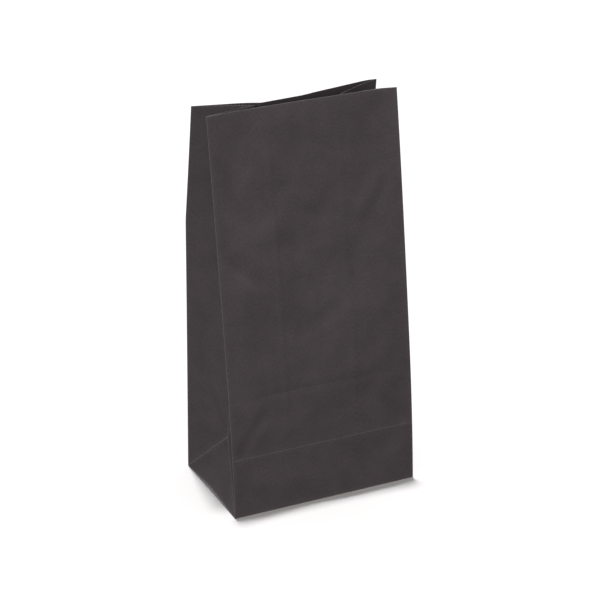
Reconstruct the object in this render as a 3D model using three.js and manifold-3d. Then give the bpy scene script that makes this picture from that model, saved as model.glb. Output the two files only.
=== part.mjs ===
// A self-opening paper bag: a flat-bottomed sack that stands open and empty, its mouth still half closed by
// its side gussets. One sheet of paper, so one solid. Millimetres, +Z up. The origin is the middle of the base,
// on the surface it stands on; X runs along the front panel and Y from the front panel to the back one.

import * as THREE from "three";
import { ConvexGeometry } from "three/addons/geometries/ConvexGeometry.js";
import { mergeVertices } from "three/addons/utils/BufferGeometryUtils.js";
import Module from "manifold-3d";

// The size of the bag
const width = 196.85; // front and back panels, 7 3/4 in
const depth = 122.24; // side gussets, 4 13/16 in
const height = 406.4; // base to lip along the paper, 16 in
const ply = 0.3; // one layer of paper, with its small waves
const floorThickness = 3 * ply; // the folded and glued base

const halfWidth = width / 2;
const halfDepth = depth / 2;

// How far each corner of the lip has moved from straight above its corner of the base
const corners = {
  frontLeft: { x: -1.1, y: 43.6 },
  frontRight: { x: -1.7, y: 40.1 },
  backLeft: { x: -1.4, y: -42.9 },
  backRight: { x: -5.4, y: -46.4 },
};
const sidewaysPower = 4; // the corners move sideways only near the lip

// The front leans back little at first and evenly higher up; the back has one knee
const frontEase = { until: 0.37, startSlope: 0.3 };
const backKnee = { at: 0.685, share: 0.38 };

// The lip's bow into the bag: share of the panel's width from its left corner, and millimetres inwards
const frontBow = [
  [0, 0],
  [0.08, 2.1],
  [0.16, 3.7],
  [0.25, 4.9],
  [0.5, 5.9],
  [0.7, 5.2],
  [0.83, 4.9],
  [0.916, 4.2],
  [0.96, 2.3],
  [1, 0],
];
const backBow = [
  [0, 0],
  [0.13, 4.4],
  [0.22, 7.1],
  [0.28, 9.3],
  [0.34, 12.6],
  [0.56, 10.2],
  [0.78, 3.9],
  [0.95, -0.8],
  [1, 0],
];
const bowPower = 2; // the bow fades out towards the base

// Folds pressed into the panels while the bag lay flat
const frontFold = { along: halfDepth, press: 0.9 }; // where the base was folded up
const foldFade = 0.08; // share of the width over which the fold dies out at a corner

// Side gussets
const gussetSlack = 0.985; // a gusset half is bent a little, so it spans less than its own width
const creaseShift = { Left: 0, Right: 0.9 }; // how far the middle crease leans towards the back panel
const gussetBows = { frontLeft: 0.8, frontRight: 4.8, backLeft: 0, backRight: -2.6 }; // away from the panel
const dent = { back: 1.5, lift: 5.6 }; // the middle of the base's side edge
const dentReach = 32; // how far under the base the dent runs

// The base's two flaps, front one outermost, and the seam down the back panel
const flapOverlap = 12; // how far the outer flap passes the middle of the base
const flapEdgeStrip = 6; // the inner flap touches the ground this near the back edge
const seamWidth = 19; // where the sheet's two edges are glued together
const seamFromMiddle = 32;
const cutEdge = 0.4; // how far a ply's cut edge slopes

// The mesh: rows up to the apex of the gusset's triangle, rows above it, columns in half a gusset
const rowsInTriangle = 4;
const rowsAbove = 19;
const gussetColumns = rowsInTriangle; // the triangle's diagonal folds then fall on mesh vertices
const longestMitre = { fold: 12 * ply, crease: 2 * ply };
const mergeDistance = 1e-3; // points nearer than this are one point
const frontShares = [0, 0.04, 0.08, 0.16, 0.25, 0.375, 0.5, 0.6, 0.7, 0.77, 0.83, 0.916, 0.96, 1];
const seamLeft = 0.5 + (seamFromMiddle - seamWidth / 2) / width;
const seamRight = seamLeft + seamWidth / width;
const seamEdge = cutEdge / width;
const backShares = [
  0, 0.04, 0.085, 0.13, 0.22, 0.28, 0.34, 0.45, 0.56, seamLeft, seamLeft + seamEdge,
  seamRight - seamEdge, seamRight, 0.78, 0.87, 0.95, 1,
];

const { lerp } = THREE.MathUtils;

// Share of the final lean that a front corner has at share u of the height
function frontLean(u) {
  const { until, startSlope } = frontEase;
  const leanAt = (v) => {
    const eased = Math.min(v, until);
    const start = startSlope * eased + ((1 - startSlope) * eased ** 2) / (2 * until);
    return start + Math.max(v - until, 0);
  };
  return leanAt(u) / leanAt(1);
}

function backLean(u) {
  const { at, share } = backKnee;
  return u < at ? (share * u) / at : lerp(share, 1, (u - at) / (1 - at));
}

// Plan position of one corner at share u of the height
function cornerAt(name, u) {
  const front = name.startsWith("front");
  const x = name.endsWith("Left") ? -halfWidth : halfWidth;
  const y = front ? -halfDepth : halfDepth;
  const lean = front ? frontLean(u) : backLean(u);
  return new THREE.Vector2(x + corners[name].x * u ** sidewaysPower, y + corners[name].y * lean);
}

// Value at t of a curve given by a few points
function alongPoints(points, t) {
  const next = points.findIndex(([share]) => share >= t);
  if (next <= 0) return points[0][1];
  const [t0, a] = points[next - 1];
  const [t1, b] = points[next];
  return lerp(a, b, (t - t0) / (t1 - t0));
}

// How far the front panel is pressed in by its fold, at share t of its width
function frontPress(t, u) {
  const up = Math.min(u * height, 2 * frontFold.along) / frontFold.along;
  const fromCorner = Math.min(t, 1 - t) / foldFade;
  return frontFold.press * (1 - Math.abs(1 - up)) * Math.min(fromCorner, 1);
}

// Plan position on the front or back panel, at share t of its width from the left
function panelAt(side, t, u) {
  const point = cornerAt(side + "Left", u).lerp(cornerAt(side + "Right", u), t);
  if (side === "front") point.y += alongPoints(frontBow, t) * u ** bowPower + frontPress(t, u);
  else point.y -= alongPoints(backBow, t) * u ** bowPower;
  return point;
}

// Plan position of a gusset's middle crease, above the triangle at its foot
function creaseAt(hand, u) {
  const front = cornerAt("front" + hand, u);
  const back = cornerAt("back" + hand, u);
  const across = back.clone().sub(front);
  const inward = Math.sqrt(halfDepth ** 2 - across.lengthSq() / 4) * lerp(1, gussetSlack, u);
  const normal = new THREE.Vector2(across.y, -across.x).normalize();
  if (hand === "Right") normal.negate();
  const crease = front.add(back).multiplyScalar(0.5).addScaledVector(normal, inward);
  crease.y += creaseShift[hand] * u ** bowPower;
  return crease;
}

// Lengths along the paper, from the base, at which the mesh has a row
const rowLengths = [];
for (let i = 0; i < rowsInTriangle; i++) rowLengths.push((halfDepth * i) / rowsInTriangle);
for (let i = 0; i <= rowsAbove; i++) rowLengths.push(lerp(halfDepth, height, i / rowsAbove));
const apexRow = rowsInTriangle;

// Lifts a plan path off the floor, row by row, so that it keeps its length along the paper
function climb(planAt, firstRow = 0, startZ = 0) {
  const path = [];
  for (let i = firstRow; i < rowLengths.length; i++) {
    const plan = planAt(rowLengths[i] / height);
    const before = path[i - 1];
    const rise = rowLengths[i] - (rowLengths[i - 1] ?? 0);
    const shift = before ? Math.hypot(plan.x - before.x, plan.y - before.y) : 0;
    const z = before ? before.z + Math.sqrt(rise ** 2 - shift ** 2) : startZ;
    path[i] = new THREE.Vector3(plan.x, plan.y, z);
  }
  return path;
}

// Share of its bow that a gusset half has, at share a of the way from the corner to the crease
function bowShare(a) {
  const top = 1 / 3;
  return ((1 - a) * Math.sqrt(a)) / ((1 - top) * Math.sqrt(top));
}

// One half of a gusset: columns of points from the panel's corner to the middle crease, both included
function gussetHalf(side, hand) {
  const outward = hand === "Left" ? -1 : 1;
  const edge = climb((u) => cornerAt(side + hand, u));
  const apexPlan = creaseAt(hand, halfDepth / height);
  const apexInward = halfWidth - Math.abs(apexPlan.x);
  const crease = climb((u) => creaseAt(hand, u), apexRow, Math.sqrt(halfDepth ** 2 - apexInward ** 2));
  const dentPoint = new THREE.Vector3(outward * halfWidth, dent.back, dent.lift);
  const foot = edge[0];
  const shoulder = edge[apexRow];
  const apex = crease[apexRow];
  const bow = gussetBows[side + hand] * (side === "front" ? 1 : -1);

  // Below the apex: up the corner and then across, or on the triangle across and then up
  const inTriangle = (across, up) => {
    const turn = across <= up ? shoulder : dentPoint;
    const [first, second] = across <= up ? [up, across] : [across, up];
    return foot
      .clone()
      .addScaledVector(turn.clone().sub(foot), first)
      .addScaledVector(apex.clone().sub(turn), second);
  };
  const above = (across, row) => {
    const point = edge[row].clone().lerp(crease[row], across);
    point.y += bow * bowShare(across) * (rowLengths[row] / height) ** bowPower;
    return point;
  };
  return Array.from({ length: gussetColumns + 1 }, (_, c) => {
    const across = c / gussetColumns;
    return rowLengths.map((length, row) =>
      row < apexRow ? inTriangle(across, length / halfDepth) : above(across, row),
    );
  });
}

// The bag's surface as columns of points, anticlockwise seen from above, with each corner and crease once.
// A column also says which way the mesh's diagonals run after it and how many plies lie on its outside.
const columns = [];
function addColumns(list, diagonalRises, addedPly = () => 0) {
  list.slice(0, -1).forEach((points, i) => columns.push({ points, diagonalRises, added: addedPly(i) }));
}
function panelColumns(side, shares) {
  return shares.map((t) => climb((u) => panelAt(side, t, u)));
}
const sharesFromRight = backShares.toReversed();
const onSeam = (i) => (sharesFromRight[i] > seamLeft && sharesFromRight[i] < seamRight ? ply : 0);
addColumns(panelColumns("front", frontShares), true);
addColumns(gussetHalf("front", "Right"), true);
addColumns(gussetHalf("back", "Right").reverse(), false);
addColumns(panelColumns("back", sharesFromRight), false, onSeam);
addColumns(gussetHalf("back", "Left"), true);
addColumns(gussetHalf("front", "Left").reverse(), false);

const neighbour = (i, step) => (i + step + columns.length) % columns.length;

// Where a ring's point lies after a move of one ply into the bag, mitred at corners and creases
function insetPoint(ring, i) {
  const point = ring[i];
  const before = ring[neighbour(i, -1)];
  const after = ring[neighbour(i, 1)];
  const normalIn = new THREE.Vector2(before.y - point.y, point.x - before.x).normalize();
  const normalOut = new THREE.Vector2(point.y - after.y, after.x - point.x).normalize();
  const isCrease = normalIn.cross(normalOut) < 0;
  const middle = normalIn.add(normalOut);
  const mitre = (2 * ply) / middle.length();
  const reach = Math.min(mitre, isCrease ? longestMitre.crease : longestMitre.fold);
  middle.normalize().multiplyScalar(reach);
  return new THREE.Vector3(point.x + middle.x, point.y + middle.y, point.z);
}

const sheetRings = rowLengths.map((_, row) => columns.map(({ points }) => points[row]));
const floorRing = sheetRings[0].map((point, i) =>
  point.clone().lerp(sheetRings[1][i], floorThickness / rowLengths[1]),
);
const insideRings = [floorRing, ...sheetRings.slice(1)].map((ring) =>
  ring.map((_, i) => insetPoint(ring, i)),
);
const outsideRings = sheetRings.map((ring) =>
  ring.map((point, i) => new THREE.Vector3(point.x, point.y + columns[i].added, point.z)),
);

// The closed skin: outside, lip, inside and both faces of the base
const positions = [];
const triangle = (...points) => points.forEach(({ x, y, z }) => positions.push(x, y, z));

function band(lower, upper, flipped = false) {
  columns.forEach(({ diagonalRises }, i) => {
    const j = neighbour(i, 1);
    const quad = [lower[i], lower[j], upper[j], upper[i]];
    const [a, b, c, d] = diagonalRises ? quad : [...quad.slice(1), quad[0]];
    for (const face of [[a, b, c], [a, c, d]]) triangle(...(flipped ? face.reverse() : face));
  });
}

function baseFace(edge, z, flipped) {
  const keep = 1 - dentReach / halfWidth;
  const flat = edge.map((point) => new THREE.Vector3(point.x * keep, point.y * keep, z));
  const middle = new THREE.Vector3(0, 0, z);
  band(edge, flat, flipped);
  flat.forEach((point, i) => {
    const face = [point, flat[neighbour(i, 1)], middle];
    triangle(...(flipped ? face.reverse() : face));
  });
}

for (let row = 1; row < rowLengths.length; row++) {
  band(outsideRings[row - 1], outsideRings[row]);
  band(insideRings[row - 1], insideRings[row], true);
}
band(outsideRings.at(-1), insideRings.at(-1));
baseFace(insideRings[0], floorThickness, false);
baseFace(outsideRings[0], 0, true);

const wasm = await Module();
wasm.setup();

function solidOf(list) {
  const geometry = new THREE.BufferGeometry();
  geometry.setAttribute("position", new THREE.Float32BufferAttribute(list, 3));
  const merged = mergeVertices(geometry, mergeDistance);
  return new wasm.Manifold(
    new wasm.Mesh({
      numProp: 3,
      vertProperties: merged.attributes.position.array,
      triVerts: new Uint32Array(merged.index.array),
    }),
  );
}

function geometryOf(solid) {
  const { numProp, vertProperties, triVerts } = solid.getMesh();
  return new THREE.BufferGeometry()
    .setAttribute("position", new THREE.Float32BufferAttribute(vertProperties, numProp))
    .setIndex(new THREE.BufferAttribute(triVerts, 1));
}

function convexSolid(points) {
  const hull = new ConvexGeometry(points.map((point) => new THREE.Vector3(...point)));
  return solidOf(hull.getAttribute("position").array);
}

// Under the base the outer flap, a trapezoid folded in from the front edge, lies one ply lower than the rest
const below = -1;
const flapTip = halfWidth - halfDepth - flapOverlap;
const outerFlap = convexSolid(
  [2 * below, 2 * floorThickness].flatMap((z) => [
    [-halfWidth, -halfDepth, z],
    [halfWidth, -halfDepth, z],
    [flapTip, flapOverlap, z],
    [-flapTip, flapOverlap, z],
  ]),
);
const besideFlap = convexSolid(
  [-width, width].flatMap((x) => [
    [x, -depth, below],
    [x, -depth, ply],
    [x, flapOverlap, ply],
    [x, halfDepth - flapEdgeStrip, 0],
    [x, halfDepth - flapEdgeStrip, below],
  ]),
).subtract(outerFlap);

const paper = new THREE.MeshStandardMaterial({ color: 0x433e3f, roughness: 0.85, metalness: 0 });
const bagMesh = new THREE.Mesh(geometryOf(solidOf(positions).subtract(besideFlap)), paper);
bagMesh.name = "bag";

const paperBag = new THREE.Group();
paperBag.add(bagMesh);

export default paperBag;
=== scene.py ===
import math

import bmesh
import bpy
from mathutils import Matrix, Vector


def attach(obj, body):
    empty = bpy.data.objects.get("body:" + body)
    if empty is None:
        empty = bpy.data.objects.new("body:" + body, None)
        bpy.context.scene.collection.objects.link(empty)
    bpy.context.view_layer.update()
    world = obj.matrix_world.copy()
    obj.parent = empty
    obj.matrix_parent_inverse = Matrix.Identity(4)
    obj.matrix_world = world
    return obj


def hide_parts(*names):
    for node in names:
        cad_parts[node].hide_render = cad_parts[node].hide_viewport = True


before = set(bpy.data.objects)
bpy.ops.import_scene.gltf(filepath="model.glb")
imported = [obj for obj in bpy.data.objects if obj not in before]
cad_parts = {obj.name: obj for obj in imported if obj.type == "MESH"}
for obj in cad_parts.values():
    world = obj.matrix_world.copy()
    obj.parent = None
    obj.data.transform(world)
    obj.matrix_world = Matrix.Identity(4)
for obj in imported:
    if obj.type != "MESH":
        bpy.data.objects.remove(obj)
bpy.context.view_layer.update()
print("frame loaded")


# The bag: one sheet, so one piece
bag = {
    "width": 0.19685,  # front and back panels
    "depth": 0.12224,  # side gussets
    "height": 0.4064,  # base to lip, along the paper
    "ply": 0.0002,  # one layer of paper
    # how far each corner of the lip has moved from above its corner of the base
    "lipMoves": {
        "frontLeft": (-0.0011, 0.0436),
        "frontRight": (-0.0017, 0.0401),
        "backLeft": (-0.0014, -0.0429),
        "backRight": (-0.0054, -0.0464),
    },
    "sidewaysPower": 4,  # the corners move sideways only near the lip
    "easeUntil": 0.37,  # the front panel leans back little at first
    "easeStart": 0.3,
    "kneeAt": 0.685,  # the back panel bends at this share of the height
    "kneeShare": 0.38,
    # the lip's bow into the bag: share of the width from the left, distance
    "frontBow": [
        (0, 0), (0.08, 0.0021), (0.16, 0.0037), (0.25, 0.0049), (0.5, 0.0059), (0.7, 0.0052),
        (0.83, 0.0049), (0.916, 0.0042), (0.96, 0.0023), (1, 0),
    ],
    "backBow": [
        (0, 0), (0.13, 0.0044), (0.22, 0.0071), (0.28, 0.0093), (0.34, 0.0126), (0.56, 0.0102),
        (0.78, 0.0039), (0.95, -0.0008), (1, 0),
    ],
    "bowPower": 2,
    "gussetBowTop": 1 / 3,  # a gusset bows most at this share of the way to its crease
    "foldPress": 0.0009,  # valley across the front panel, where the base was folded up
    "foldFade": 0.08,
    "gussetSlack": 0.985,
    "creaseShift": {"Left": 0, "Right": 0.0009},
    "gussetBows": {"frontLeft": 0.0008, "frontRight": 0.0048, "backLeft": 0, "backRight": -0.0026},
    "dentBack": 0.0015,  # the middle of the base's side edges has lifted off the floor
    "dentLift": 0.0056,
    "panelCuts": [
        0.04, 0.08, 0.13, 0.175, 0.22, 0.265, 0.3105, 0.34, 0.39, 0.45,
        0.505, 0.56, 0.6143, 0.6895, 0.7108, 0.78, 0.83, 0.873, 0.916, 0.955,
    ],
    "lipBends": (0.34, 0.56),  # shares of the width at which the back panel's lip bends
    "lipBendsFrom": 0.85,  # share of the height
    "halfGussetCuts": 4,
    "rowsToDepth": 4,  # between the gusset's apex and the bag's depth, then to the knee and to the lip
    "rowsToKnee": 9,
    "rowsToLip": 7,
    # how sharply each fold is creased, 1 being a hard edge
    "creases": {"hard": 1.0, "baseFold": 0.85, "baseImprint": 0.35, "knee": 0.4, "lipBend": 0.7},
    "seam": (0.0225, 0.0415),  # glued overlap down the back panel, distances to the right
    "flapOverlap": 0.012,  # how far each bottom flap passes the middle of the base
    "smoothing": 2,
    "softEdge": math.radians(12),  # faces that meet at less than this are shaded as one
    "sag": 0.0085,  # broad waves in the panels, highest to lowest
    "sagLength": 0.085,
    "sagDetail": 1,
    "calmNearFold": 0.03,  # the waves die out this near a fold or the lip
    "pressFade": 4,  # a soft crease has its full depth from a quarter of its length
    "pressEnds": 0.15,  # and is this deep at its ends
    # soft creases pressed while it lay flat or was handled: two ends on the flat sheet as (round, up),
    # how deep and half how wide
    "presses": [
        ((0.0, 0.1222), (0.1969, 0.1222), 0.00068, 0.006),
        ((0.0611, 0.066), (0.0611, 0.400), -0.00045, 0.005),
        ((0.1357, 0.066), (0.1357, 0.400), -0.00045, 0.005),
        ((0.3802, 0.010), (0.3802, 0.400), -0.00045, 0.005),
        ((0.4548, 0.010), (0.4548, 0.400), -0.00045, 0.005),
        ((0.006, 0.062), (0.040, 0.108), 0.0015, 0.010),
        ((0.191, 0.062), (0.163, 0.100), 0.00135, 0.010),
        ((0.013, 0.268), (0.050, 0.228), 0.0012, 0.013),
        ((0.184, 0.334), (0.148, 0.282), -0.00135, 0.013),
        ((0.072, 0.176), (0.131, 0.199), 0.0009, 0.014),
        ((0.112, 0.300), (0.070, 0.322), -0.0009, 0.014),
        ((0.228, 0.112), (0.252, 0.074), -0.00135, 0.009),
        ((0.289, 0.118), (0.266, 0.078), 0.0015, 0.009),
        ((0.330, 0.070), (0.366, 0.116), 0.0015, 0.011),
        ((0.506, 0.068), (0.474, 0.122), 0.00135, 0.011),
        ((0.352, 0.285), (0.409, 0.244), -0.00135, 0.013),
        ((0.492, 0.300), (0.448, 0.258), 0.00135, 0.012),
        ((0.420, 0.150), (0.372, 0.168), 0.0009, 0.013),
        ((0.548, 0.114), (0.571, 0.076), -0.0015, 0.009),
        ((0.605, 0.116), (0.584, 0.078), 0.00135, 0.009),
    ],
}
halfWidth = bag["width"] / 2
halfDepth = bag["depth"] / 2
knee = bag["kneeAt"] * bag["height"]
foot = 2 * bag["ply"]  # the bottom flaps lie under the rest
hair = 1e-4  # places nearer than this are the same
onLine = 1e-5  # a point this near a cut lies on it
turned = 0.5  # a face looks along an axis when its normal has more than this of it
level = 0.9  # and lies flat when it has more than this of Z


def between(a, b, share):
    return a + (b - a) * share


def evenSteps(low, high, count):
    return [between(low, high, i / count) for i in range(1, count + 1)]


# Heights along the paper at which the cage has a row: folds and bends fall on rows
rows = [0.0]
rows += evenSteps(0, halfDepth, bag["halfGussetCuts"])
rows += evenSteps(halfDepth, bag["depth"], bag["rowsToDepth"])
rows += evenSteps(bag["depth"], knee, bag["rowsToKnee"])
rows += evenSteps(knee, bag["height"], bag["rowsToLip"])
apexRow = bag["halfGussetCuts"]


def alongPoints(points, share):
    for (t0, a), (t1, b) in zip(points, points[1:]):
        if share <= t1:
            return between(a, b, (share - t0) / (t1 - t0))
    return points[-1][1]


def frontLean(up):
    def leanAt(v):
        early = min(v, bag["easeUntil"])
        start = bag["easeStart"]
        return start * early + (1 - start) * early**2 / (2 * bag["easeUntil"]) + v - early

    return leanAt(up) / leanAt(1)


def backLean(up):
    if up < bag["kneeAt"]:
        return bag["kneeShare"] * up / bag["kneeAt"]
    return between(bag["kneeShare"], 1, (up - bag["kneeAt"]) / (1 - bag["kneeAt"]))


def cornerAt(side, hand, up):
    moveX, moveY = bag["lipMoves"][side + hand]
    x = -halfWidth if hand == "Left" else halfWidth
    y = -halfDepth if side == "front" else halfDepth
    lean = frontLean(up) if side == "front" else backLean(up)
    return Vector((x + moveX * up ** bag["sidewaysPower"], y + moveY * lean))


def panelAt(side, share, up):
    point = cornerAt(side, "Left", up).lerp(cornerAt(side, "Right", up), share)
    bow = alongPoints(bag[side + "Bow"], share) * up ** bag["bowPower"]
    if side == "back":
        point.y -= bow
        return point
    foldsUp = min(up * bag["height"], bag["depth"]) / halfDepth
    fromCorner = min(share, 1 - share) / bag["foldFade"]
    point.y += bow + bag["foldPress"] * (1 - abs(1 - foldsUp)) * min(fromCorner, 1)
    return point


def creaseAt(hand, up):
    front = cornerAt("front", hand, up)
    back = cornerAt("back", hand, up)
    across = back - front
    inward = math.sqrt(halfDepth**2 - across.length_squared / 4) * between(1, bag["gussetSlack"], up)
    toMiddle = Vector((across.y, -across.x)).normalized() * (1 if hand == "Left" else -1)
    crease = (front + back) / 2 + toMiddle * inward
    crease.y += bag["creaseShift"][hand] * up ** bag["bowPower"]
    return crease


def climb(planAt, firstRow=0, startZ=0.0):
    # Lifts a plan path off the floor so that it keeps its length along the paper
    path = {}
    for i in range(firstRow, len(rows)):
        plan = planAt(rows[i] / bag["height"])
        z = startZ
        if i > firstRow:
            below = path[i - 1]
            z = below.z + math.sqrt((rows[i] - rows[i - 1]) ** 2 - (plan - below.xy).length_squared)
        path[i] = plan.to_3d() + Vector((0, 0, z))
    return path


def bowShare(share):
    top = bag["gussetBowTop"]
    return (1 - share) * math.sqrt(share) / ((1 - top) * math.sqrt(top))


def gussetPaths(side, hand):
    # One half of a gusset, as {(share towards the crease, row): point}
    outward = -1 if hand == "Left" else 1
    corner = climb(lambda up: cornerAt(side, hand, up))
    apexIn = halfWidth - abs(creaseAt(hand, halfDepth / bag["height"]).x)
    crease = climb(lambda up: creaseAt(hand, up), apexRow, math.sqrt(halfDepth**2 - apexIn**2))
    dent = Vector((outward * halfWidth, bag["dentBack"], bag["dentLift"]))
    base, shoulder, apex = corner[0], corner[apexRow], crease[apexRow]
    bow = bag["gussetBows"][side + hand] * (1 if side == "front" else -1)
    paths = {}
    for column in range(bag["halfGussetCuts"] + 1):
        share = column / bag["halfGussetCuts"]
        for i, length in enumerate(rows):
            up = length / halfDepth
            if i >= apexRow:
                point = corner[i].lerp(crease[i], share)
                point.y += bow * bowShare(share) * (length / bag["height"]) ** bag["bowPower"]
            elif share <= up:
                point = base + (shoulder - base) * up + (apex - shoulder) * share
            else:
                point = base + (dent - base) * share + (apex - dent) * up
            paths[column, i] = point
    return paths


def basePlace(home):
    # Inside the base only the side triangles lift, towards the middle of each side edge
    lifted = max(abs(home.x) - (halfWidth - halfDepth) - abs(home.y), 0) / halfDepth
    return home + Vector((0, bag["dentBack"] * lifted, bag["dentLift"] * lifted))


def near(a, b):
    return abs(a - b) < hair


def onFront(p):
    return near(p.y, -halfDepth)


def onBack(p):
    return near(p.y, halfDepth)


def onSide(p):
    return near(abs(p.x), halfWidth)


def pick(kind, test, facing=lambda normal: True):
    # Selects the faces, edges or vertices whose places all pass the test, and nothing else
    bpy.ops.mesh.select_mode(type=kind)
    bpy.ops.mesh.select_all(action="DESELECT")
    shell = bmesh.from_edit_mesh(bpy.context.object.data)
    found = {"VERT": shell.verts, "EDGE": shell.edges, "FACE": shell.faces}[kind]
    for element in found:
        points = [element.co] if kind == "VERT" else [v.co for v in element.verts]
        if all(test(p) for p in points) and (kind != "FACE" or facing(element.normal)):
            element.select_set(True)


def cutAcross(point, normal, test=lambda p: True, facing=lambda normal: True):
    pick("FACE", test, facing)
    bpy.ops.mesh.bisect(plane_co=point, plane_no=normal)


def creaseWhere(test, amount):
    pick("EDGE", test)
    bpy.ops.transform.edge_crease(value=amount)


def finishWith(piece, kind, **settings):
    modifier = piece.modifiers.new(kind.title(), kind)
    for name, value in settings.items():
        setattr(modifier, name, value)
    bpy.context.view_layer.objects.active = piece
    bpy.ops.object.modifier_apply(modifier=modifier.name)


# The sheet stands as a box with no lid
bpy.ops.object.select_all(action="DESELECT")
bpy.ops.mesh.primitive_cube_add(
    size=1, location=(0, 0, bag["height"] / 2), scale=(bag["width"], bag["depth"], bag["height"])
)
paperBag = bpy.context.object
paperBag.name = "paperBag"
bpy.ops.object.transform_apply(location=True, rotation=False, scale=True)
bpy.ops.object.mode_set(mode="EDIT")
pick("FACE", lambda p: near(p.z, bag["height"]))
bpy.ops.mesh.delete(type="FACE")
bpy.ops.object.mode_set(mode="OBJECT")

# Its UV map is the flat sheet in metres: once round the bag, and up from the base; the base hangs below
sheet = paperBag.data.uv_layers[0]
sheet.name = "sheet"
starts = {
    "right": bag["width"],
    "back": bag["width"] + bag["depth"],
    "left": 2 * bag["width"] + bag["depth"],
}
girth = 2 * (bag["width"] + bag["depth"])
for face in paperBag.data.polygons:
    for corner in face.loop_indices:
        p = paperBag.data.vertices[paperBag.data.loops[corner].vertex_index].co
        spot = (p.x + halfWidth, p.z)
        if face.normal.z < -turned:
            spot = (p.x + halfWidth, -p.y - halfDepth)
        elif face.normal.x > turned:
            spot = (starts["right"] + p.y + halfDepth, p.z)
        elif face.normal.y > turned:
            spot = (starts["back"] + halfWidth - p.x, p.z)
        elif face.normal.x < -turned:
            spot = (starts["left"] + halfDepth - p.y, p.z)
        sheet.data[corner].uv = spot

# Rows, columns and the fold lines
bpy.ops.object.mode_set(mode="EDIT")
for row in rows[1:-1]:
    cutAcross((0, 0, row), (0, 0, 1))
for share in bag["panelCuts"]:
    cutAcross((between(-halfWidth, halfWidth, share), 0, 0), (1, 0, 0))
for i in range(1 - bag["halfGussetCuts"], bag["halfGussetCuts"]):
    cutAcross((0, halfDepth * i / bag["halfGussetCuts"], 0), (0, 1, 0))
for toFront in (-1, 1):
    cutAcross(
        (0, toFront * halfDepth, 0),
        (0, toFront, 1),
        lambda p: onSide(p) and p.z < halfDepth + hair and p.y * toFront > -hair,
    )
print("cage cut")


def onTriangle(p):
    return onSide(p) and near(p.z, halfDepth - abs(p.y))


creases = bag["creases"]
creaseWhere(lambda p: onSide(p) and (onFront(p) or onBack(p)), creases["hard"])
creaseWhere(lambda p: onSide(p) and near(p.y, 0) and p.z > halfDepth - hair, creases["hard"])
creaseWhere(lambda p: near(p.z, 0) and (onSide(p) or onFront(p) or onBack(p)), creases["hard"])
creaseWhere(onTriangle, creases["hard"])
creaseWhere(lambda p: near(p.z, halfDepth) and onFront(p), creases["baseFold"])
creaseWhere(lambda p: near(p.z, halfDepth) and onSide(p) and p.y < hair, creases["baseFold"])
creaseWhere(lambda p: near(p.z, bag["depth"]) and onFront(p), creases["baseImprint"])
creaseWhere(lambda p: near(p.z, knee) and onBack(p), creases["knee"])
lipBendsFrom = bag["lipBendsFrom"] * bag["height"]
for share in bag["lipBends"]:
    x = between(-halfWidth, halfWidth, share)
    creaseWhere(lambda p: near(p.x, x) and onBack(p) and p.z > lipBendsFrom, creases["lipBend"])
pick("VERT", lambda p: onSide(p) and near(p.y, 0) and near(p.z, 0))
bpy.ops.transform.vert_crease(value=creases["hard"])

# Every point of the cage goes to its folded place
panelPaths = {}
gussets = {}
for side in ("front", "back"):
    for share in [0, *bag["panelCuts"], 1]:
        panelPaths[side, round(share, 4)] = climb(lambda up: panelAt(side, share, up))
    for hand in ("Left", "Right"):
        gussets[side, hand] = gussetPaths(side, hand)


def foldedPlace(home):
    row = min(range(len(rows)), key=lambda i: abs(rows[i] - home.z))
    side = "front" if home.y < 0 else "back"
    if onFront(home) or onBack(home):
        share = round((home.x + halfWidth) / bag["width"], 4)
        return panelPaths[side, share][row]
    if onSide(home):
        column = round((halfDepth - abs(home.y)) / halfDepth * bag["halfGussetCuts"])
        return gussets[side, "Left" if home.x < 0 else "Right"][column, row]
    return basePlace(home)


bpy.ops.mesh.select_mode(type="VERT")
bpy.ops.mesh.select_all(action="DESELECT")
cage = bmesh.from_edit_mesh(paperBag.data)
cage.verts.ensure_lookup_table()
for i in range(len(cage.verts)):
    point = cage.verts[i]
    point.select_set(True)
    bpy.ops.transform.translate(value=foldedPlace(point.co) + Vector((0, 0, foot)) - point.co)
    cage.verts.ensure_lookup_table()
    cage.verts[i].select_set(False)
bpy.ops.object.mode_set(mode="OBJECT")
print("cage folded:", len(paperBag.data.vertices), "points")

finishWith(
    paperBag, "SUBSURF", levels=bag["smoothing"], render_levels=bag["smoothing"], uv_smooth="NONE"
)


# The paper sags between its folds and has a few soft creases from handling
def sheetPlaces():
    uv = paperBag.data.uv_layers["sheet"].data
    return {loop.vertex_index: Vector(uv[loop.index].uv) for loop in paperBag.data.loops}


def fromFolds(spot):
    # Distance on the sheet to the nearest hard fold or edge
    lines = [0, starts["right"], starts["back"], starts["left"], girth]
    folds = [abs(spot.x - line) for line in lines] + [abs(spot.y), abs(bag["height"] - spot.y)]
    for start in (starts["right"], starts["left"]):
        if start <= spot.x <= start + bag["depth"]:
            fromMiddle = abs(spot.x - start - halfDepth)
            toDiagonal = abs(spot.y - (halfDepth - fromMiddle)) / math.sqrt(2)
            folds.append(fromMiddle if spot.y > halfDepth else toDiagonal)
            folds.append(abs(spot.y - halfDepth) if spot.y > halfDepth - fromMiddle else toDiagonal)
    if spot.x < starts["right"]:
        folds.append(abs(spot.y - halfDepth))
    return min(folds)


def eased(share):
    share = min(max(share, 0), 1)
    return share * share * (3 - 2 * share)


def fromLine(spot, a, b):
    run = b - a
    along = min(max((spot - a).dot(run) / run.length_squared, 0), 1)
    return (spot - a - run * along).length, along


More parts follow.
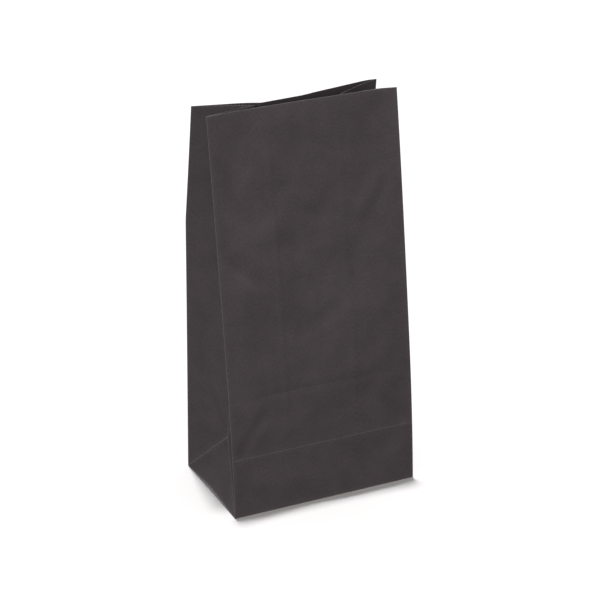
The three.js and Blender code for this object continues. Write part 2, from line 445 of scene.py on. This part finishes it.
places = sheetPlaces()
slack = paperBag.vertex_groups.new(name="slack")
for index, spot in places.items():
    if spot.y > 0:
        slack.add([index], eased(fromFolds(spot) / bag["calmNearFold"]), "REPLACE")
waves = bpy.data.textures.new("waves", "CLOUDS")
waves.noise_scale = bag["sagLength"]
waves.noise_depth = bag["sagDetail"]
finishWith(
    paperBag,
    "DISPLACE",
    texture=waves,
    texture_coords="LOCAL",
    strength=bag["sag"],
    vertex_group="slack",
)
for i, (a, b, depth, reach) in enumerate(bag["presses"]):
    crease = paperBag.vertex_groups.new(name=f"press{i}")
    for index, spot in places.items():
        distance, along = fromLine(spot, Vector(a), Vector(b))
        if distance < reach:
            dying = eased(min(along, 1 - along) * bag["pressFade"] + bag["pressEnds"])
            crease.add([index], eased(1 - distance / reach) * dying, "REPLACE")
    finishWith(paperBag, "DISPLACE", mid_level=0, strength=-depth, vertex_group=crease.name)
paperBag.vertex_groups.clear()
print("panels sagged and creased")

finishWith(paperBag, "SOLIDIFY", thickness=bag["ply"], offset=-1)
print("sheet given its thickness:", len(paperBag.data.polygons), "faces")


# Bottom flaps, folded in from the front and the back edge: seen from below the front one lies on top
bpy.ops.object.mode_set(mode="EDIT")
baseTop = bag["dentLift"] + foot + 5 * hair  # just above the base where it has lifted
tip = bag["flapOverlap"]


def facesDown(normal):
    return normal.z < -level


def facesUp(normal):
    return normal.z > level


def inBase(p):
    return p.z < baseTop


def inFlap(p, toFront):
    # The flap folded in from the front edge, or the back one, narrows at 45 degrees
    inFromEdge = halfDepth + p.y * toFront
    within = inFromEdge < halfDepth + tip + onLine and abs(p.x) < halfWidth - inFromEdge + onLine
    return within and inBase(p)


for facing in (facesDown, facesUp):
    cutAcross((0, tip if facing is facesDown else -tip, 0), (0, 1, 0), inBase, facing)
    for x in (-halfWidth, halfWidth):
        for y in (-halfDepth, halfDepth):
            cutAcross((x, y, 0), (1, 1 if x * y < 0 else -1, 0), inBase, facing)
pick("FACE", lambda p: inFlap(p, 1) or inFlap(p, -1), facesDown)
bpy.ops.mesh.extrude_region_move(TRANSFORM_OT_translate={"value": (0, 0, -bag["ply"])})
pick("FACE", lambda p: inFlap(p, 1), facesDown)
bpy.ops.mesh.extrude_region_move(TRANSFORM_OT_translate={"value": (0, 0, -bag["ply"])})
pick("FACE", lambda p: inFlap(p, -1), facesUp)
bpy.ops.mesh.extrude_region_move(TRANSFORM_OT_translate={"value": (0, 0, bag["ply"])})

# Glued seam down the back: two plies thick, with a cut edge at either side
seamStart, seamEnd = (starts["back"] + halfWidth - x for x in reversed(bag["seam"]))


def pickSeam(test):
    shell = bmesh.from_edit_mesh(paperBag.data)
    uv = shell.loops.layers.uv["sheet"]
    bpy.ops.mesh.select_mode(type="FACE")
    bpy.ops.mesh.select_all(action="DESELECT")
    for face in shell.faces:
        spots = [corner[uv].uv for corner in face.loops]
        if face.normal.y > turned and all(test(spot) for spot in spots):
            face.select_set(True)


pickSeam(lambda spot: seamStart - onLine < spot.x < seamEnd + onLine and spot.y > -onLine)
bpy.ops.mesh.extrude_region_shrink_fatten(TRANSFORM_OT_shrink_fatten={"value": bag["ply"]})
bpy.ops.object.mode_set(mode="OBJECT")
print("flaps and seam laid on:", len(paperBag.data.polygons), "faces")
bpy.ops.object.shade_smooth_by_angle(angle=bag["softEdge"])

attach(paperBag, "root")
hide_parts("bag")


# Shaders are written as expressions on this
class Wire:
    def __init__(self, tree, socket=None):
        self.tree = tree
        self.socket = socket

    def node(self, kind, settings=None, inputs=None, output=0):
        made = self.tree.nodes.new("ShaderNode" + kind)
        for name, value in (settings or {}).items():
            setattr(made, name, value)
        for name, value in (inputs or {}).items():
            if isinstance(value, Wire):
                self.tree.links.new(value.socket, made.inputs[name])
            else:
                made.inputs[name].default_value = value
        return Wire(self.tree, made.outputs[output] if made.outputs else None)

    def also(self, output):
        return Wire(self.tree, self.socket.node.outputs[output])

    def maths(self, operation, *values):
        return self.node("Math", {"operation": operation}, dict(enumerate(values)))

    def __add__(self, other):
        return self.maths("ADD", self, other)

    def __sub__(self, other):
        return self.maths("SUBTRACT", self, other)

    def __rsub__(self, other):
        return self.maths("SUBTRACT", other, self)

    def __mul__(self, other):
        return self.maths("MULTIPLY", self, other)

    def __gt__(self, other):
        return self.maths("GREATER_THAN", self, other)

    def __or__(self, other):
        return self.maths("MAXIMUM", self, other)

    def __abs__(self):
        return self.maths("ABSOLUTE", self)

    __radd__ = __add__
    __rmul__ = __mul__


def newMaterial(name):
    material = bpy.data.materials.new(name)
    material.use_nodes = True
    material.node_tree.nodes.clear()
    return material, Wire(material.node_tree)


# Paper dyed through: pulp clouds, lengthwise fibres, faint mill ribs, and folds rubbed paler
charcoal = {
    "dark": (0.0360, 0.0305, 0.0324, 1),
    "pale": (0.0586, 0.0498, 0.0530, 1),
    "rubbed": (0.110, 0.100, 0.102, 1),
    "clouds": (48, 4.0, 0.7),  # how many to a metre, detail, and share in the tone
    "felt": (420, 3.0, 0.5),
    "fibres": (1500, 3.0, 1.1),
    "fibreStretch": 0.22,
    "crinkle": (900, 2.0),  # beside the folds
    "breaks": (260, 2.0),  # where a fold's rubbed line fades
    "ribs": 0.0013,  # metres from rib to rib
    "foldLine": 0.0009,  # half widths of a rubbed fold and of what lies beside it
    "foldHalo": 0.006,
    "baseFoldRub": 0.5,
    "rub": {"line": 0.15, "broken": 0.75, "halo": 0.14},
    "roughness": (0.8, 0.12),  # least, and what the clouds add
    # height of each in the relief
    "heights": {"fibres": 0.9, "felt": 1.2, "ribs": 0.06, "crinkle": 1.2, "line": -1.4},
    "specular": 0.08,
    "relief": 0.00007,
}


def charcoalKraft():
    material, start = newMaterial("charcoalKraft")
    sheetSpot = start.node("UVMap", {"uv_map": "sheet"})
    across = start.node("SeparateXYZ", {}, {"Vector": sheetSpot})
    up = across.also("Y")

    def noise(scale, detail, spot=sheetSpot):
        return start.node(
            "TexNoise", {"noise_dimensions": "2D"}, {"Vector": spot, "Scale": scale, "Detail": detail}
        )

    def falloff(distance, reach):
        # 1 on the line, fading to 0 at its reach
        ends = {0: abs(distance), 1: 0.0, 2: reach, 3: 1.0, 4: 0.0}
        return start.node("MapRange", {"interpolation_type": "SMOOTHSTEP"}, ends)

    stretch = (1, charcoal["fibreStretch"], 1)
    lengthwise = start.node("Mapping", {}, {"Vector": sheetSpot, "Scale": stretch})
    clouds = noise(*charcoal["clouds"][:2])
    felt = noise(*charcoal["felt"][:2])
    fibres = noise(*charcoal["fibres"][:2], lengthwise)
    ribs = start.maths("SINE", across * (2 * math.pi / charcoal["ribs"]))

    # The folds of the flat sheet, as distances to each
    aboveFloor = up > 0.0
    aboveTriangle = up > halfDepth
    inTriangle = aboveFloor * (1 - aboveTriangle)
    gussetMiddles = [starts[hand] + halfDepth for hand in ("right", "left")]
    besideFront = 1 - (across > gussetMiddles[0]) * (1 - (across > gussetMiddles[1]))

    # Under the base: the front flap's edges and, beyond its tip, the back flap's
    place = start.node("SeparateXYZ", {}, {"Vector": start.node("TexCoord", output="Object")})
    fromMiddle = abs(place)
    toBack = place.also("Y")
    beyondTip = toBack > bag["flapOverlap"]
    frontFlap = (fromMiddle + toBack - (halfWidth - halfDepth)) * math.sqrt(0.5)
    backFlap = (fromMiddle - toBack - (halfWidth - halfDepth)) * math.sqrt(0.5)
    tipEdge = toBack - bag["flapOverlap"]
    besideTip = fromMiddle > halfWidth - halfDepth - bag["flapOverlap"]

    def foldsWithin(reach):
        folds = falloff(up, reach) | falloff(up + bag["depth"], reach)
        folds = folds | falloff(up - bag["height"], reach)
        for line in (0, starts["right"], starts["back"], starts["left"], girth):
            folds = folds | falloff(across - line, reach)
        for middle in gussetMiddles:
            folds = folds | (falloff(across - middle, reach) * aboveTriangle)
            diagonal = (abs(across - middle) + up - halfDepth) * math.sqrt(0.5)
            folds = folds | (falloff(diagonal, reach) * inTriangle)
        flaps = (falloff(frontFlap, reach) * (1 - beyondTip)) | (falloff(backFlap, reach) * beyondTip)
        flaps = flaps | (falloff(tipEdge, reach) * (1 - besideTip))
        folds = folds | (flaps * (1 - aboveFloor))
        return folds | (falloff(up - halfDepth, reach) * besideFront * charcoal["baseFoldRub"])

    line = foldsWithin(charcoal["foldLine"])
    halo = foldsWithin(charcoal["foldHalo"])
    rubs = charcoal["rub"]
    lineRub = line * (rubs["line"] + rubs["broken"] * noise(*charcoal["breaks"]))
    rub = lineRub + halo * felt * rubs["halo"]

    middle = 0.5  # of any noise
    tone = middle
    for pattern, name in ((clouds, "clouds"), (fibres, "fibres"), (felt, "felt")):
        tone = tone + (pattern - middle) * charcoal[name][2]

    def mixed(share, low, high):
        return start.node("Mix", {"data_type": "RGBA"}, {0: share, 6: low, 7: high}, 2)

    colour = mixed(rub, mixed(tone, charcoal["dark"], charcoal["pale"]), charcoal["rubbed"])
    crinkle = noise(*charcoal["crinkle"]) * halo
    parts = {"fibres": fibres, "felt": felt, "ribs": ribs, "crinkle": crinkle, "line": line}
    height = 0.0
    for name, part in parts.items():
        height = part * charcoal["heights"][name] + height
    relief = start.node("Bump", {}, {"Strength": 1.0, "Distance": charcoal["relief"], "Height": height})
    surface = start.node(
        "BsdfPrincipled",
        {},
        {
            "Base Color": colour,
            "Roughness": charcoal["roughness"][0] + clouds * charcoal["roughness"][1],
            "Specular IOR Level": charcoal["specular"],
            "Normal": relief,
        },
    )
    start.node("OutputMaterial", {}, {"Surface": surface})
    return material


paperBag.data.materials.clear()
paperBag.data.materials.append(charcoalKraft())
print("kraft material made")

# Studio: a pale floor, a faintly warm room and soft lights
studio = {
    "floorSize": 10,
    "floorDrop": 0.0001,  # below the bag, so that the two don't fight
    "floorColour": (0.8, 0.8, 0.8, 1),
    "floorRoughness": 0.9,
    "floorSpecular": 0.1,
    "room": 0.52,
    "roomColour": (1, 0.96, 0.95, 1),  # its walls warm the shadows a little
    "backdrop": (1, 1, 1, 1),  # what the camera sees beyond the floor
    # place, width and length, and power of each softbox, all aimed at the bag
    "softboxes": {
        "overhead": ((0.2, 4.1, 30), (2.4, 1.8), 8150),  # so far that the floor is lit evenly
        "top": ((0, -0.02, 2.6), (0.34, 0.34), 34),
        "key": ((-1.5, -1.62, 1.3), (1, 1), 48),
        "fill": ((1.3, 1.88, 1.3), (1, 1), 44),
    },
}
bpy.ops.object.select_all(action="DESELECT")
bpy.ops.mesh.primitive_plane_add(size=studio["floorSize"], location=(0, 0, -studio["floorDrop"]))
floor = bpy.context.object
floor.name = "floor"
floor.visible_diffuse = False  # it throws no light back on the bag
floor.visible_glossy = False
paleFloor, floorStart = newMaterial("paleFloor")
floorSurface = floorStart.node(
    "BsdfPrincipled",
    {},
    {
        "Base Color": studio["floorColour"],
        "Roughness": studio["floorRoughness"],
        "Specular IOR Level": studio["floorSpecular"],
    },
)
floorStart.node("OutputMaterial", {}, {"Surface": floorSurface})
floor.data.materials.append(paleFloor)

room = bpy.data.worlds.new("room")
room.use_nodes = True
room.node_tree.nodes.clear()
roomStart = Wire(room.node_tree)
walls = roomStart.node("Background", {}, {"Color": studio["roomColour"], "Strength": studio["room"]})
backdrop = roomStart.node("Background", {}, {"Color": studio["backdrop"], "Strength": 1.0})
toCamera = roomStart.node("LightPath", output="Is Camera Ray")
surroundings = roomStart.node("MixShader", {}, {0: toCamera, 1: walls, 2: backdrop})
roomStart.node("OutputWorld", {}, {"Surface": surroundings})
bpy.context.scene.world = room
bpy.context.scene.view_settings.view_transform = "Standard"
onlyBag = bpy.data.collections.new("onlyBag")  # all lights but the overhead leave the floor alone
onlyBag.objects.link(paperBag)
for name, (place, size, power) in studio["softboxes"].items():
    bpy.ops.object.light_add(type="AREA", location=place)
    softbox = bpy.context.object
    softbox.name = name
    softbox.data.shape = "ELLIPSE"
    softbox.data.size, softbox.data.size_y = size
    softbox.data.energy = power
    toBag = Vector((0, 0, bag["height"] / 2)) - Vector(place)
    softbox.rotation_euler = toBag.to_track_quat("-Z", "Y").to_euler()
    if name != "overhead":
        softbox.light_linking.receiver_collection = onlyBag

# The camera stands where the photographer's stood
camera = {
    "azimuth": math.radians(24.585),  # to the left of straight in front
    "elevation": math.radians(24.109),
    "roll": math.radians(-0.6),
    "distance": 2.1734,
    "target": Vector((0.00216, 0, 0.19158)),
    "lens": 132,
    "sensor": 36,
}
away = Vector((
    -math.sin(camera["azimuth"]) * math.cos(camera["elevation"]),
    -math.cos(camera["azimuth"]) * math.cos(camera["elevation"]),
    math.sin(camera["elevation"]),
))
right = (-away).cross(Vector((0, 0, 1))).normalized()
upward = right.cross(-away)
rightRolled = math.cos(camera["roll"]) * right + math.sin(camera["roll"]) * upward
upRolled = math.cos(camera["roll"]) * upward - math.sin(camera["roll"]) * right
axes = Matrix((rightRolled, upRolled, away)).transposed()
lens = bpy.data.cameras.new("camera")
lens.sensor_width = camera["sensor"]
lens.lens = camera["lens"]
viewer = bpy.data.objects.new("camera", lens)
viewer.matrix_world = Matrix.Translation(camera["target"] + away * camera["distance"]) @ axes.to_4x4()
bpy.context.scene.collection.objects.link(viewer)
bpy.context.scene.camera = viewer
print("studio ready")
